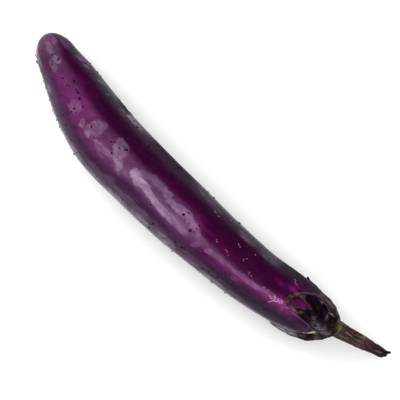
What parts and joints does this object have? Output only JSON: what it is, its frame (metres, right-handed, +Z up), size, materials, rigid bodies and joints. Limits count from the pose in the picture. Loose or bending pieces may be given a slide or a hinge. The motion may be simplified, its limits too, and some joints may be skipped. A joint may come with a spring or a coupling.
{
  "type": "eggplant",
  "caption": "Long slim purple eggplant lying on its side, with a gently curved fruit, a clasping calyx with pointed sepals and a cut stem.",
  "frame": {"origin": "under the middle of the whole eggplant's box, on the surface it lies on", "axes": "+X from the blossom end to the stem, +Y across it, +Z up"},
  "size_m": [0.3102, 0.054, 0.0462],
  "materials": {
    "fruit_skin": "glossy waxy skin with matt patches of bloom",
    "calyx_skin": "leathery, wrinkled, dull",
    "stem_bark": "rough, ribbed, dry at the cut"
  },
  "bodies": {
    "root": {"fruit": "fruit_skin", "calyx": "calyx_skin", "stem": "stem_bark"}
  },
  "joints": []
}
